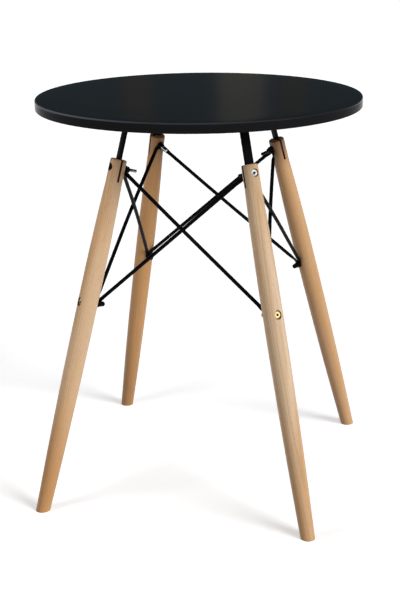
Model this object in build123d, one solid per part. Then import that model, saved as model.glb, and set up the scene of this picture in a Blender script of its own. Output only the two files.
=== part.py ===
from build123d import *
import math
import os

# Round table: a board on four splayed dowel legs, held by steel straps and braced by crossed rods.
# The origin is on the floor under the centre of the board, with Z up. All sizes are in millimetres.
# The legs stand on the diagonals, so the four sides between them face along X and Y.

# Table top
table_height = 750.0
top_diameter = 600.0
top_thickness = 18.0
top_upper_bevel = 2.5
top_lower_bevel = 1.0

# Legs: turned dowels, thickest round the lower bolt, measured along the axis from the top end
leg_splay = 16.2
foot_circle_radius = 358.0
leg_below_top = 83.0
leg_top_diameter = 30.0
leg_swell_diameter = 37.0
leg_foot_diameter = 26.5
leg_top_bevel = 1.5
straight_run_margin = 4.0

# Straps: flat bars from the slots in the legs to the underside of the top
strap_width = 18.0
strap_thickness = 3.0
strap_below_bolt = 12.0
strap_bend_radius = 8.0
strap_corner_bevel = 4.0
flange_length = 66.0
slot_below_strap = 12.0
slot_clearance = 0.25

# Screws that hold the straps to the top
screw_count = 2
screw_diameter = 4.0
screw_head_diameter = 8.0
screw_head_height = 2.4
screw_cover = 4.0
screw_clearance = 0.15

# Bolts across the legs, with recessed heads outside and nuts inside
bolt_diameter = 6.0
bolt_clearance = 0.25
upper_bolt_depth = 16.0
lower_bolt_depth = 268.0
bolt_head_diameter = 13.0
bolt_head_height = 3.0
bolt_head_recess = 3.0
counterbore_clearance = 0.5
key_width = 4.0
key_depth = 2.0
thread_clearance = 0.1
nut_width = 10.0
nut_height = 5.0
upper_thread_overhang = 16.0
cap_nut_height = 12.0
cap_dome_diameter = 9.6
cap_wall = 2.0
bolt_end_gap = 1.0

# Flats on the inner side of the legs, which the rod eyes sit on
seat_flat_depth = 0.8
seat_flat_length = 34.0

# Brace rods with flattened, bent eyes
rod_diameter = 7.0
rod_crossing_gap = 0.5
eye_diameter = 14.0
eye_thickness = 2.5
neck_width = 9.0
neck_beyond_eye = 3.0
flat_run = 4.0
taper_run = 12.0

# Places of the legs, counter-clockwise seen from above
leg_angles = {"front_left": 225.0, "front_right": 315.0, "back_right": 45.0, "back_left": 135.0}

# Worked-out sizes
splay = math.radians(leg_splay)
top_underside = table_height - top_thickness
leg_top_height = top_underside - leg_below_top
leg_length = leg_top_height / math.cos(splay)
leg_top_radius = foot_circle_radius - leg_top_height * math.tan(splay)
slot_depth = upper_bolt_depth + strap_below_bolt + slot_below_strap
bolt_hole_diameter = bolt_diameter + 2 * bolt_clearance
neck_length = eye_diameter / 2 + neck_beyond_eye

# Where a leg is turned straight: over the slot, round the lower bolt and at the foot
past_floor = leg_foot_diameter * math.tan(splay)
half_swell = seat_flat_length / 2 + straight_run_margin
top_run_end = slot_depth + straight_run_margin
swell_start = lower_bolt_depth - half_swell
swell_end = lower_bolt_depth + half_swell
foot_run_start = leg_length - past_floor

# Frame of the leg that stands along X: X out of the leg, Y sideways, Z up along its axis
leg_frame = Plane(
    origin=(leg_top_radius, 0, leg_top_height),
    x_dir=(math.cos(splay), 0, math.sin(splay)),
    z_dir=(-math.sin(splay), 0, math.cos(splay)),
)
OUTWARD = Plane(origin=(0, 0, 0), x_dir=(0, 1, 0), z_dir=(1, 0, 0))
INWARD = Plane(origin=(0, 0, 0), x_dir=(0, 1, 0), z_dir=(-1, 0, 0))


def narrowing_at(run, reach, end_diameter):
    """How far the radius has fallen at a run from the thickest part, on an arc that ends at a reach."""
    narrowing = (leg_swell_diameter - end_diameter) / 2
    arc = (reach**2 + narrowing**2) / (2 * narrowing)
    return arc - math.sqrt(arc**2 - min(run, reach)**2)


def leg_radius(depth):
    """Radius of a leg at a depth along its axis from the top end."""
    thickest = leg_swell_diameter / 2
    if depth < swell_start:
        return thickest - narrowing_at(swell_start - depth, swell_start - top_run_end, leg_top_diameter)
    if depth > swell_end:
        return thickest - narrowing_at(depth - swell_end, foot_run_start - swell_end, leg_foot_diameter)
    return thickest


def across_leg(shape, depth, distance, direction):
    """A shape built along Z, laid along a bolt line at a depth and a distance from the leg's axis."""
    seat = Plane(
        origin=(direction.z_dir.X * distance, 0, -depth),
        x_dir=direction.x_dir,
        z_dir=direction.z_dir,
    )
    return seat * shape


def disc(diameter, height):
    """A cylinder that stands on the XY plane."""
    return extrude(Circle(diameter / 2), amount=height)


def seat_floor(depth):
    """Distance from a leg's axis to the flat that the rod eyes sit on."""
    return leg_radius(depth) - seat_flat_depth


def head_floor(depth):
    """Distance from a leg's axis to the floor of a bolt head's counterbore."""
    return leg_radius(depth) - bolt_head_recess - bolt_head_height


def stack_distance(depth, layer):
    """Distance from a leg's axis to the outer face of a layer of the eye stack; layer 2 is the nut."""
    return seat_floor(depth) + layer * eye_thickness


def screw_shank(clearance):
    """The shank of a screw, wider and longer by a clearance, on the head's bearing face at Z = 0."""
    length = strap_thickness + top_thickness - screw_cover
    return disc(screw_diameter + 2 * clearance, length + clearance)


def at_screws(shape):
    """Copies of a shape at the screws of one strap."""
    seat = top_underside - strap_thickness
    return [Pos(radius, 0, seat) * shape for radius in screw_radii()]


def make_top():
    """The round board, with pilot holes for the screws."""
    board = Pos(0, 0, top_underside) * disc(top_diameter, top_thickness)
    board = chamfer(board.edges().sort_by(Axis.Z)[-1], top_upper_bevel)
    board = chamfer(board.edges().sort_by(Axis.Z)[0], top_lower_bevel)
    holes = []
    for angle in leg_angles.values():
        for pilot in at_screws(screw_shank(screw_clearance)):
            holes.append(Rot(0, 0, angle) * pilot)
    return board - holes


def leg_outline_point(depth):
    """Point of a leg's turned outline at a depth, in the plane of its axis."""
    return (leg_radius(depth), -depth)


def leg_blank():
    """The turned leg: straight where the fittings are let in and at the foot, with arcs between."""
    low_end = leg_length + past_floor
    straight_ends = [0, top_run_end, swell_start, swell_end, foot_run_start, low_end]
    outline = Polyline(leg_outline_point(0), (0, 0), (0, -low_end), leg_outline_point(low_end))
    for index in range(len(straight_ends) - 1):
        start, end = straight_ends[index:index + 2]
        if index % 2 == 0:
            outline += Line(leg_outline_point(start), leg_outline_point(end))
        else:
            middle = leg_outline_point((start + end) / 2)
            outline += ThreePointArc(leg_outline_point(start), middle, leg_outline_point(end))
    return revolve(make_face(Plane.XZ * outline), Axis.Z)


def make_leg():
    """A turned leg with its slot, bolt holes, counterbores and seat flats, cut flat on the floor."""
    blank = leg_blank()
    blank = chamfer(blank.edges().sort_by(Axis.Z)[-1], leg_top_bevel)

    slot_width = strap_thickness + 2 * slot_clearance
    cuts = [Pos(0, 0, -slot_depth / 2) * Box(slot_width, leg_swell_diameter, slot_depth)]
    through = Pos(0, 0, -leg_swell_diameter) * disc(bolt_hole_diameter, 2 * leg_swell_diameter)
    counterbore = disc(bolt_head_diameter + 2 * counterbore_clearance, leg_swell_diameter)
    flat = extrude(Rectangle(leg_swell_diameter, seat_flat_length), amount=leg_swell_diameter)
    for depth in (upper_bolt_depth, lower_bolt_depth):
        cuts.append(across_leg(through, depth, 0, OUTWARD))
        cuts.append(across_leg(counterbore, depth, head_floor(depth), OUTWARD))
        cuts.append(across_leg(flat, depth, seat_floor(depth), INWARD))
    return split(leg_frame * (blank - cuts), bisect_by=Plane.XY, keep=Keep.TOP)


def flange_corner():
    """Where the middle of the strap's upright run meets the middle of its flange."""
    height = top_underside - strap_thickness / 2
    return Vector(foot_circle_radius - height * math.tan(splay), 0, height)


def screw_radii():
    """Distances of one strap's screws from the middle of the table."""
    corner = flange_corner().X
    first = corner - strap_bend_radius - strap_width / 2
    last = corner - flange_length + strap_width / 2
    step = (last - first) / (screw_count - 1)
    return [first + index * step for index in range(screw_count)]


def make_strap():
    """A flat bar that stands in the leg's slot and bends over into a flange under the top."""
    foot = leg_frame.from_local_coords(Vector(0, 0, -upper_bolt_depth - strap_below_bolt))
    corner = flange_corner()
    tip = corner - Vector(flange_length, 0, 0)
    path = FilletPolyline(foot, corner, tip, radius=strap_bend_radius)
    start = Plane(origin=path @ 0, x_dir=(0, 1, 0), z_dir=path % 0)
    strap = sweep(start * Rectangle(strap_width, strap_thickness), path=path)
    through_bar = Axis((0, 0, 0), leg_frame.x_dir)
    strap = chamfer(strap.edges().filter_by(through_bar).sort_by(Axis.Z)[:2], strap_corner_bevel)
    strap = chamfer(strap.edges().filter_by(Axis.Z).sort_by(Axis.X)[:2], strap_corner_bevel)
    bolt_hole = Pos(0, 0, -strap_width) * disc(bolt_hole_diameter, 2 * strap_width)
    bolt_hole = leg_frame * across_leg(bolt_hole, upper_bolt_depth, 0, OUTWARD)
    return strap - [bolt_hole] - at_screws(screw_shank(screw_clearance))


def make_screw():
    """A wood screw that stands head down at the origin, with the head's bearing face at Z = 0."""
    head = Pos(0, 0, -screw_head_height) * disc(screw_head_diameter, screw_head_height)
    return head + screw_shank(0)


def make_bolt(depth, inner_reach):
    """A socket-head bolt that reaches inwards by a distance from the leg's axis."""
    floor = head_floor(depth)
    key_side = key_width / math.sqrt(3)
    socket = extrude(RegularPolygon(key_side, 6), amount=key_depth)
    head = disc(bolt_head_diameter, bolt_head_height) - Pos(0, 0, bolt_head_height - key_depth) * socket
    shank = Pos(0, 0, -floor - inner_reach) * disc(bolt_diameter, floor + inner_reach)
    return leg_frame * across_leg(head + shank, depth, floor, OUTWARD)


def hexagon_nut(height):
    """A hexagonal prism on the XY plane."""
    return extrude(RegularPolygon(nut_width / math.sqrt(3), 6), amount=height)


def make_nut():
    """The open nut on an upper bolt."""
    nut = hexagon_nut(nut_height) - disc(bolt_diameter + 2 * thread_clearance, nut_height)
    distance = stack_distance(upper_bolt_depth, 2)
    return leg_frame * across_leg(nut, upper_bolt_depth, distance, INWARD)


def make_cap_nut():
    """The domed nut on a lower bolt."""
    dome_radius = cap_dome_diameter / 2
    dome = Pos(0, 0, cap_nut_height - dome_radius) * Sphere(dome_radius)
    neck = disc(cap_dome_diameter, cap_nut_height - dome_radius)
    cap = hexagon_nut(nut_height) + neck + dome
    cap -= disc(bolt_diameter + 2 * thread_clearance, cap_nut_height - cap_wall)
    distance = stack_distance(lower_bolt_depth, 2)
    return leg_frame * across_leg(cap, lower_bolt_depth, distance, INWARD)


def eye_plane(depth, layer, leg_turn):
    """Plane through the middle of an eye, facing out of the leg that is turned about the table."""
    distance = stack_distance(depth, layer) + eye_thickness / 2
    middle = leg_frame.from_local_coords(Vector(-distance, 0, -depth)).rotate(Axis.Z, leg_turn)
    facing = leg_frame.x_dir.rotate(Axis.Z, leg_turn)
    return Plane(origin=middle, z_dir=facing)


def bend_point(eye, target):
    """Where a rod that runs towards a target bends out of the plane of its eye, at the end of the neck."""
    along = target - eye.origin
    in_plane = along - eye.z_dir * along.dot(eye.z_dir)
    return eye.origin + in_plane.normalized() * neck_length


def rod_eyes(outer):
    """Upper and lower eye of one rod between the leg along X and the leg along Y.

    An outer rod falls from the first leg to the second and an inner rod from the second to the first.
    """
    layer = 0 if outer else 1
    upper_eye = eye_plane(upper_bolt_depth, layer, 0 if outer else 90)
    lower_eye = eye_plane(lower_bolt_depth, layer, 90 if outer else 0)
    return upper_eye, lower_eye


def straight_line(outer):
    """Ends of the straight line between a rod's two bends."""
    upper_eye, lower_eye = rod_eyes(outer)
    return bend_point(upper_eye, lower_eye.origin), bend_point(lower_eye, upper_eye.origin)


def crossing_direction():
    """Direction, out of the table, that is square to both rods of a side."""
    outer_start, outer_end = straight_line(True)
    inner_start, inner_end = straight_line(False)
    square = (outer_end - outer_start).cross(inner_end - inner_start).normalized()
    outside = Vector(1, 1, 0)
    return square if square.dot(outside) > 0 else -square


def rod_spring():
    """How far each rod of a side is sprung away from its neighbour, so that they pass with a gap."""
    apart = (straight_line(True)[0] - straight_line(False)[0]).dot(crossing_direction())
    return max(rod_diameter + rod_crossing_gap - apart, 0) / 2


def crossing_point(outer):
    """Where the middle of a rod passes its neighbour."""
    start, end = straight_line(outer)
    other_start, other_end = straight_line(not outer)
    along = end - start
    other_along = other_end - other_start
    square = along.cross(other_along)
    share = (other_start - start).cross(other_along).dot(square) / square.dot(square)
    sprung = crossing_direction() * (rod_spring() if outer else -rod_spring())
    return start + along * share + sprung


def rod_end(eye, bend, direction):
    """The flattened end of a rod: the eye with its neck, and the blade that runs into the round bar."""
    neck = bend - eye.origin
    bend_angle = math.radians(neck.get_angle(direction))
    mitre = eye_thickness / 2 * math.tan(bend_angle / 2)
    eye_length = neck_length + mitre
    outline = Circle(eye_diameter / 2) + Pos(eye_length / 2, 0) * Rectangle(eye_length, neck_width)
    outline -= Circle(bolt_hole_diameter / 2)
    eye_face = Plane(origin=eye.origin, x_dir=neck, z_dir=eye.z_dir)
    plate = extrude(eye_face * outline, amount=eye_thickness / 2, both=True)

    bend_axis = neck.cross(eye.z_dir)
    wide = neck_width / 2
    narrow = rod_diameter / 2 - eye_thickness / 4
    reach = flat_run + taper_run
    corners = [(-mitre, wide), (flat_run, wide), (reach, narrow)]
    corners += [(along, -across) for along, across in reversed(corners)]
    blade_face = Plane(origin=bend, x_dir=direction, z_dir=bend_axis.cross(direction))
    blade_outline = blade_face * make_face(Polyline(corners, close=True))
    return plate + extrude(blade_outline, amount=eye_thickness / 2, both=True)


def flattening(eye, bend, direction):
    """The two wedges that are pressed out of the bar where it runs into its blade."""
    reach = flat_run + taper_run
    corners = [
        (0, eye_thickness / 2),
        (flat_run, eye_thickness / 2),
        (reach, rod_diameter / 2),
        (reach, rod_diameter),
        (0, rod_diameter),
    ]
    side = Plane(origin=bend, x_dir=direction, z_dir=(bend - eye.origin).cross(eye.z_dir))
    wedge = extrude(make_face(Polyline(corners, close=True)), amount=rod_diameter, both=True)
    return [side * wedge, side * mirror(wedge, about=Plane.XZ)]


def make_rod(outer):
    """One brace rod between the leg along X and the leg along Y."""
    middle = crossing_point(outer)
    ends = []
    for eye in rod_eyes(outer):
        bend = bend_point(eye, middle)
        ends.append((eye, bend, (middle - bend).normalized()))
    starts = [bend + direction * flat_run for _, bend, direction in ends]
    section = Plane(origin=starts[0], z_dir=ends[0][2]) * Circle(rod_diameter / 2)
    rod = sweep(section, path=Polyline(starts[0], middle, starts[1]), transition=Transition.RIGHT)
    for eye, bend, direction in ends:
        rod -= flattening(eye, bend, direction)
        rod += rod_end(eye, bend, direction)
    return rod


def main():
    """Builds every piece and writes one file for each node."""
    os.makedirs("parts", exist_ok=True)
    nodes = {"table_top": make_top()}

    leg = make_leg()
    strap = make_strap()
    for leg_name, angle in leg_angles.items():
        nodes[f"leg_{leg_name}"] = Rot(0, 0, angle) * leg
        nodes[f"strap_{leg_name}"] = Rot(0, 0, angle) * strap

    outer_rod = make_rod(True)
    inner_rod = make_rod(False)
    leg_names = list(leg_angles)
    for index, leg_name in enumerate(leg_names):
        next_name = leg_names[(index + 1) % len(leg_names)]
        turn = Rot(0, 0, leg_angles[leg_name])
        nodes[f"brace_rod_{leg_name}_to_{next_name}"] = turn * outer_rod
        nodes[f"brace_rod_{next_name}_to_{leg_name}"] = turn * inner_rod

    upper_reach = stack_distance(upper_bolt_depth, 2) + nut_height + upper_thread_overhang
    lower_reach = stack_distance(lower_bolt_depth, 2) + cap_nut_height - cap_wall - bolt_end_gap
    fasteners = {
        "upper_bolts": [make_bolt(upper_bolt_depth, upper_reach)],
        "upper_nuts": [make_nut()],
        "lower_bolts": [make_bolt(lower_bolt_depth, lower_reach)],
        "lower_cap_nuts": [make_cap_nut()],
        "strap_screws": at_screws(make_screw()),
    }
    for name, corner_set in fasteners.items():
        solids = [Rot(0, 0, angle) * solid for angle in leg_angles.values() for solid in corner_set]
        nodes[name] = Compound(children=solids)

    for name, shape in nodes.items():
        export_step(shape, f"parts/{name}.step")
    print(f"{len(nodes)} nodes, rods sprung by {rod_spring():.2f} mm")


main()
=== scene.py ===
import logging
import math
from dataclasses import dataclass
from enum import Enum
from typing import Callable, Sequence

import bmesh
import bpy
from mathutils import Matrix, Vector


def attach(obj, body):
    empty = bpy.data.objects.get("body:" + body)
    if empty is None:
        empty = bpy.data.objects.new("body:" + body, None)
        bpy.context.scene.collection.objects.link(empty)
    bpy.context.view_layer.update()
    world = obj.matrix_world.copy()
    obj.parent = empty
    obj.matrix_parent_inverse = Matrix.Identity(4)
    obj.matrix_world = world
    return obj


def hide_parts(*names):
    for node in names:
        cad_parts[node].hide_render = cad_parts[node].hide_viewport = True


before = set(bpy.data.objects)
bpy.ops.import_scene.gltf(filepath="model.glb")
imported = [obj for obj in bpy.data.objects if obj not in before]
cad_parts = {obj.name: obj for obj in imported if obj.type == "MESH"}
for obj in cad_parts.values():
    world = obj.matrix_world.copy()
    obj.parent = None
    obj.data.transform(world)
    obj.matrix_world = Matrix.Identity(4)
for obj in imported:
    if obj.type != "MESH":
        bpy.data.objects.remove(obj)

# Looks of a round table on four splayed dowel legs, in metres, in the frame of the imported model.

LOG = logging.getLogger("round_table")
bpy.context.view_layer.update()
BODY = "root"
GRAIN = "grain"
# Mark of painted shade on the legs' cut walls and top ends, and of their darkening towards the feet.
WOOD_SHADE = "cut"
WARMTH = "warmth"
# Mark of painted shade in the fasteners' recesses and on bolt ends that sit in shade.
METAL_SHADE = "recess"

# A cut wall carries a full mark of one: painted shade inside the cut. Painted shade at a leg's top end and
# the darkening towards its foot carry less, from this mark up.
WOOD_SHADE_START = 0.4

# Most values of a noise lie in this range.
NOISE_RANGE = (0.3, 0.7)

Colour = tuple[float, float, float]
Point = tuple[float, float, float]
Pair = tuple[float, float]
ByLeg = tuple[float, float, float, float]
Ring = list[Vector]
Outline = Callable[[float], float]
Socket = bpy.types.NodeSocket
Skin = bmesh.types.BMesh
Piece = bpy.types.Object


def ease(share: float) -> float:
    """A share from zero to one that starts and ends gently."""
    return share * share * (3 - 2 * share)


def quarter(steps: int) -> list[Pair]:
    """Sines and cosines from zero to a right angle, in equal steps."""
    angles = [math.pi / 2 * step / steps for step in range(steps + 1)]
    return [(math.sin(angle), math.cos(angle)) for angle in angles]


class Slot(Enum):
    """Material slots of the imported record."""

    TOP = "top_black"
    BEECH = "beech"
    STEEL = "black_steel"
    ZINC = "zinc"
    BRASS = "brass"


class Corner(Enum):
    """Places of the legs, in degrees counter-clockwise seen from above."""

    FRONT_LEFT = 225.0
    FRONT_RIGHT = 315.0
    BACK_RIGHT = 45.0
    BACK_LEFT = 135.0

    @property
    def label(self) -> str:
        """Name of the corner as the nodes spell it."""
        return self.name.lower()

    def turn(self) -> Matrix:
        """Rotation from the X axis to this corner."""
        return Matrix.Rotation(math.radians(self.value), 4, "Z")

    def following(self) -> "Corner":
        """The next corner, counter-clockwise."""
        corners = list(Corner)
        return corners[(corners.index(self) + 1) % len(corners)]


class RodLayer(Enum):
    """Which of the two eyes on a bolt a rod has: against the leg, or against the nut."""

    OUTER = 0
    INNER = 1


class Graph:
    """A node tree, and short calls that add nodes to it."""

    def __init__(self, tree: bpy.types.NodeTree) -> None:
        """Takes the tree.

        Args:
            tree: Tree of a material, of the world or of geometry.
        """
        self.tree = tree

    def node(self, kind: str, inputs: dict | None = None, **settings: object) -> bpy.types.Node:
        """Adds a node.

        Args:
            kind: Blender's type name of the node.
            inputs: Values or sockets for the node's inputs, by name or index.
            settings: Attributes of the node.

        Returns:
            The new node.
        """
        made = self.tree.nodes.new(kind)
        for key, value in settings.items():
            setattr(made, key, value)
        for key, value in (inputs or {}).items():
            if isinstance(value, Socket):
                self.tree.links.new(value, made.inputs[key])
            else:
                made.inputs[key].default_value = value
        return made

    def sum(self, operation: str, *values: object) -> Socket:
        """One step of arithmetic.

        Args:
            operation: Name of the operation.
            values: Numbers or sockets.

        Returns:
            The result.
        """
        return self.node("ShaderNodeMath", dict(enumerate(values)), operation=operation).outputs[0]

    def span(self, source: Socket, taken: Sequence[float], given: Sequence[float]) -> Socket:
        """A factor carried smoothly from one range to another.

        Args:
            source: The factor.
            taken: The values that count, from the one that becomes the first given value to the other.
            given: What these become.

        Returns:
            The carried factor, held inside the range.
        """
        inputs = {0: source, 1: taken[0], 2: taken[1], 3: given[0], 4: given[1]}
        return self.node("ShaderNodeMapRange", inputs, interpolation_type="SMOOTHSTEP").outputs[0]

    def blend(self, factor: Socket, first: object, second: object) -> Socket:
        """A mix of two colours.

        Args:
            factor: Share of the second colour.
            first: A colour or a socket.
            second: A colour or a socket.

        Returns:
            The mixed colour.
        """
        sides = [value if isinstance(value, Socket) else (*value, 1.0) for value in (first, second)]
        inputs = {0: factor, 6: sides[0], 7: sides[1]}
        return self.node("ShaderNodeMix", inputs, data_type="RGBA").outputs[2]


class MaterialGraph(Graph):
    """A material with one principled shader."""

    def __init__(self, name: str) -> None:
        """Starts the material.

        Args:
            name: Name of the material.
        """
        self.material = bpy.data.materials.new(name)
        self.material.use_nodes = True
        super().__init__(self.material.node_tree)
        self.shader = self.tree.nodes["Principled BSDF"]

    def set(self, socket: str, value: float | Sequence[float]) -> None:
        """Sets a constant on the shader's own socket."""
        self.shader.inputs[socket].default_value = value

    def feed(self, socket: str, source: Socket) -> None:
        """Links a node's output to a socket of the shader."""
        self.tree.links.new(source, self.shader.inputs[socket])

    def place(self, attribute: str | None, scale: Sequence[float]) -> Socket:
        """Coordinates to draw a pattern on.

        Args:
            attribute: Name of a vector attribute of the mesh, or None for Object coordinates.
            scale: Cycles per metre along each axis.

        Returns:
            The scaled coordinates.
        """
        if attribute is None:
            source = self.node("ShaderNodeTexCoord").outputs["Object"]
        else:
            source = self.node("ShaderNodeAttribute", attribute_name=attribute).outputs["Vector"]
        return self.node("ShaderNodeMapping", {"Vector": source, "Scale": scale}).outputs["Vector"]

    def noise(self, place: Socket, detail: float, distortion: float = 0.0) -> Socket:
        """Noise on scaled coordinates.

        Args:
            place: Coordinates from place().
            detail: How many finer layers the noise has.
            distortion: How much the noise is bent.

        Returns:
            A factor around one half.
        """
        inputs = {"Vector": place, "Scale": 1.0, "Detail": detail, "Distortion": distortion}
        return self.node("ShaderNodeTexNoise", inputs).outputs["Fac"]

    def mottle(self, scale: float, detail: float) -> Socket:
        """Noise that is alike along every axis, on Object coordinates."""
        return self.noise(self.place(None, (scale, scale, scale)), detail)

    def mark(self, name: str) -> Socket:
        """A factor that the mesh carries as an attribute."""
        return self.node("ShaderNodeAttribute", attribute_name=name).outputs["Fac"]

    def bump(self, height: Socket, distance: float, strength: float) -> None:
        """Gives the shader a bump.

        Args:
            height: Factor that is the height.
            distance: Height of a whole factor, in metres.
            strength: Share of the bump that shows.
        """
        inputs = {"Height": height, "Distance": distance, "Strength": strength}
        self.feed("Normal", self.node("ShaderNodeBump", inputs).outputs["Normal"])


@dataclass(frozen=True)
class SatinLacquer:
    """Sprayed satin black lacquer on a fine fibreboard."""

    name: str = "satin_black_lacquer"
    deep: Colour = (0.0034, 0.0038, 0.0043)
    cloud: Colour = (0.0050, 0.0055, 0.0062)
    # The rim is painted paler than the face: painted reflection that makes up for its lower sheen.
    rim: Colour = (0.0095, 0.0098, 0.0108)
    # Bluish colour of a painted highlight along the upper edge.
    paler: Colour = (0.074, 0.086, 0.110)
    gloss: Pair = (0.11, 0.16)
    sheen: Pair = (0.012, 0.08)
    rim_end: Pair = (0.7455, 0.7475)
    edge_start: Pair = (0.7468, 0.7476)
    edge_end: Pair = (0.7499, 0.7494)
    # Where the painted edge highlight is strongest on the left and fades on the right, and how much of it
    # stays at the least.
    highlight_left: Pair = (0.02, -0.22)
    highlight_right: Pair = (0.22, 0.10)
    highlight_least: Pair = (0.36, 0.35)
    cloud_scale: float = 9.0
    cloud_range: Pair = (0.35, 0.65)
    gloss_scale: float = 60.0
    skin_scale: float = 700.0
    skin_height: float = 0.00003
    skin_share: float = 0.25

    def material(self) -> bpy.types.Material:
        """The lacquer, with faint clouds, a duller rim painted a little paler to make up part of its
        reflection, a painted highlight along the upper edge that is strongest on the left, and a sprayed
        skin.

        Returns:
            The material.
        """
        graph = MaterialGraph(self.name)
        clouds = graph.mottle(self.cloud_scale, 4)
        colour = graph.blend(graph.span(clouds, self.cloud_range, (0, 1)), self.deep, self.cloud)
        parts = graph.node("ShaderNodeSeparateXYZ", {0: graph.place(None, (1, 1, 1))}).outputs
        side, height = parts["X"], parts["Z"]
        # Painted reflection: the rim, duller than the face, is painted a little paler.
        colour = graph.blend(graph.span(height, self.rim_end, (0, 1)), self.rim, colour)
        # Painted highlight along the upper edge: strongest on the left, faint on the right.
        above = graph.span(height, self.edge_start, (0, 1))
        below = graph.span(height, self.edge_end, (0, 1))
        left = graph.span(side, self.highlight_left, (self.highlight_least[0], 1))
        right = graph.span(side, self.highlight_right, (self.highlight_least[1], 1))
        edge, highlight_spread = graph.sum("MULTIPLY", above, below), graph.sum("MULTIPLY", left, right)
        graph.feed("Base Color", graph.blend(graph.sum("MULTIPLY", edge, highlight_spread), colour, self.paler))
        uneven = graph.mottle(self.gloss_scale, 3)
        graph.feed("Roughness", graph.span(uneven, NOISE_RANGE, self.gloss))
        graph.feed("Specular IOR Level", graph.span(height, self.rim_end, self.sheen))
        graph.bump(graph.mottle(self.skin_scale, 2), self.skin_height, self.skin_share)
        return graph.material


@dataclass(frozen=True)
class LacqueredBeech:
    """Turned beech under clear lacquer, with the grain along the leg."""

    name: str = "clear_lacquered_beech"
    pale: Colour = (0.655, 0.500, 0.350)
    warm: Colour = (0.570, 0.385, 0.230)
    amber: Colour = (0.540, 0.275, 0.098)
    line: Colour = (0.400, 0.222, 0.100)
    fleck: Colour = (0.310, 0.165, 0.075)
    # Colour of painted shade on the cut walls and at the leg's top end.
    painted_shade: Colour = (0.060, 0.014, 0.008)
    gloss: Pair = (0.36, 0.50)
    shine: float = 0.45
    tone_scale: Point = (55.0, 55.0, 3.5)
    tone_range: Pair = (0.34, 0.66)
    line_stretch: Point = (1.0, 0.55, 0.045)
    line_scale: float = 95.0
    line_range: Pair = (0.62, 1.0)
    line_share: float = 0.34
    fleck_scale: Point = (1500.0, 1500.0, 170.0)
    fleck_range: Pair = (0.62, 0.72)
    fleck_share: float = 0.55
    painted_shade_share: float = 0.85
    pore_scale: Point = (2400.0, 2400.0, 120.0)
    pore_depth: float = 0.00006
    pore_share: float = 0.35

    def material(self) -> bpy.types.Material:
        """The beech: slow changes of tone, growth lines, short dark flecks, painted shade on cut walls and at
        the top end, darkening towards the foot, and fine pores.

        Returns:
            The material.
        """
        graph = MaterialGraph(self.name)
        tone = graph.noise(graph.place(GRAIN, self.tone_scale), 4, 0.4)
        colour = graph.blend(graph.span(tone, self.tone_range, (0, 1)), self.pale, self.warm)
        colour = graph.blend(graph.mark(WARMTH), colour, self.amber)

        lines = {
            "Vector": graph.place(GRAIN, self.line_stretch),
            "Scale": self.line_scale,
            "Distortion": 2.6,
            "Detail": 3.0,
            "Detail Scale": 0.9,
        }
        growth = graph.node("ShaderNodeTexWave", lines, wave_type="BANDS", bands_direction="X").outputs["Fac"]
        colour = graph.blend(graph.span(growth, self.line_range, (0, self.line_share)), colour, self.line)

        dashes = graph.noise(graph.place(GRAIN, self.fleck_scale), 1)
        colour = graph.blend(graph.span(dashes, self.fleck_range, (0, self.fleck_share)), colour, self.fleck)
        # Painted shade: the walls of the slot and counterbores and the top end under the board are painted
        # dark; the same mark darkens the wood towards the foot.
        cut = graph.span(graph.mark(WOOD_SHADE), (WOOD_SHADE_START, 1.0), (0, self.painted_shade_share))
        graph.feed("Base Color", graph.blend(cut, colour, self.painted_shade))

        pores = graph.noise(graph.place(GRAIN, self.pore_scale), 2)
        graph.feed("Roughness", graph.span(pores, NOISE_RANGE, self.gloss))
        graph.set("Specular IOR Level", self.shine)
        graph.bump(pores, self.pore_depth, self.pore_share)
        return graph.material


@dataclass(frozen=True)
class PowderCoat:
    """Black powder coat on steel."""

    name: str = "black_powder_coat"
    deep: Colour = (0.0028, 0.0030, 0.0037)
    worn: Colour = (0.0048, 0.0051, 0.0062)
    gloss: Pair = (0.34, 0.44)
    shine: float = 0.03
    patch_scale: float = 45.0
    patch_range: Pair = (0.45, 0.7)
    skin_scale: float = 1300.0
    skin_height: float = 0.00008
    skin_share: float = 0.35

    def material(self) -> bpy.types.Material:
        """The coat, with the fine orange skin of baked powder and faintly rubbed patches.

        Returns:
            The material.
        """
        graph = MaterialGraph(self.name)
        paler = graph.mottle(self.patch_scale, 4)
        patches = graph.span(paler, self.patch_range, (0, 1))
        graph.feed("Base Color", graph.blend(patches, self.deep, self.worn))
        graph.feed("Roughness", graph.span(paler, NOISE_RANGE, self.gloss))
        graph.set("Specular IOR Level", self.shine)
        graph.bump(graph.mottle(self.skin_scale, 2), self.skin_height, self.skin_share)
        return graph.material


@dataclass(frozen=True)
class PlatedMetal:
    """Bright plating on a steel fastener."""

    name: str
    bright: Colour
    dull: Colour
    # Colour of painted shade in the driver's recess and on bolt ends in shade.
    painted_recess_shade: Colour = (0.022, 0.019, 0.016)
    gloss: Pair = (0.22, 0.38)
    patch_scale: float = 260.0
    patch_range: Pair = (0.38, 0.66)
    mark_scale: float = 2600.0
    mark_height: float = 0.00003
    mark_share: float = 0.3

    def material(self) -> bpy.types.Material:
        """The plating, with dull patches, fine rolling marks and painted shade in the driver's recess and on
        bolt ends that sit in shade.

        Returns:
            The material.
        """
        graph = MaterialGraph(self.name)
        patches = graph.mottle(self.patch_scale, 4)
        colour = graph.blend(graph.span(patches, self.patch_range, (0, 1)), self.bright, self.dull)
        # Painted shade where the mesh carries the mark.
        graph.feed("Base Color", graph.blend(graph.mark(METAL_SHADE), colour, self.painted_recess_shade))
        graph.feed("Roughness", graph.span(patches, NOISE_RANGE, self.gloss))
        graph.set("Metallic", 1.0)
        graph.bump(graph.mottle(self.mark_scale, 2), self.mark_height, self.mark_share)
        return graph.material


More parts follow.
